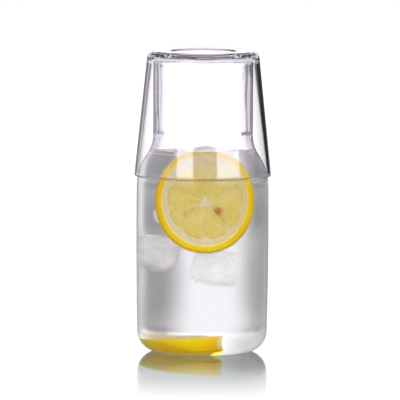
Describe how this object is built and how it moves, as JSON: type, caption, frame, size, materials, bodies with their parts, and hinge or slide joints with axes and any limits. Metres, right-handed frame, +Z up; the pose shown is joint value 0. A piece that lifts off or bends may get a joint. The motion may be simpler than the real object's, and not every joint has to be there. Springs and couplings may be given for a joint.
{
  "type": "bedside carafe with tumbler",
  "caption": "Clear glass bedside carafe with rounded shoulder and wide neck, covered by its upturned tapered tumbler and filled with water, ice and lemon.",
  "frame": {"origin": "centre of the ring that the carafe stands on", "axes": "+Z up along the carafe's axis; -Y is the front, where the lemon slice shows; +X is to the viewer's right"},
  "size_m": [0.0824, 0.0824, 0.1816],
  "materials": {
    "clear_glass": "gloss",
    "water": "gloss",
    "lemon_rind": "satin",
    "lemon_pith": "matte",
    "lemon_pulp": "satin",
    "lemon_seed": "satin",
    "ice": "gloss"
  },
  "bodies": {
    "carafe": {"carafe": "clear_glass", "water": "water", "slice_rind": "lemon_rind", "slice_pith": "lemon_pith", "slice_pulp": "lemon_pulp", "slice_seeds": "lemon_seed", "half_rind": "lemon_rind", "half_pith": "lemon_pith", "half_pulp": "lemon_pulp", "ice_top": "ice", "ice_back": "ice", "ice_left": "ice", "ice_right": "ice"},
    "tumbler": {"tumbler": "clear_glass"}
  },
  "joints": [
    {"name": "tumbler_lift", "type": "slide", "parent": "carafe", "child": "tumbler", "axis": [0, 0, 1], "range_m": [0, 0.09]}
  ]
}
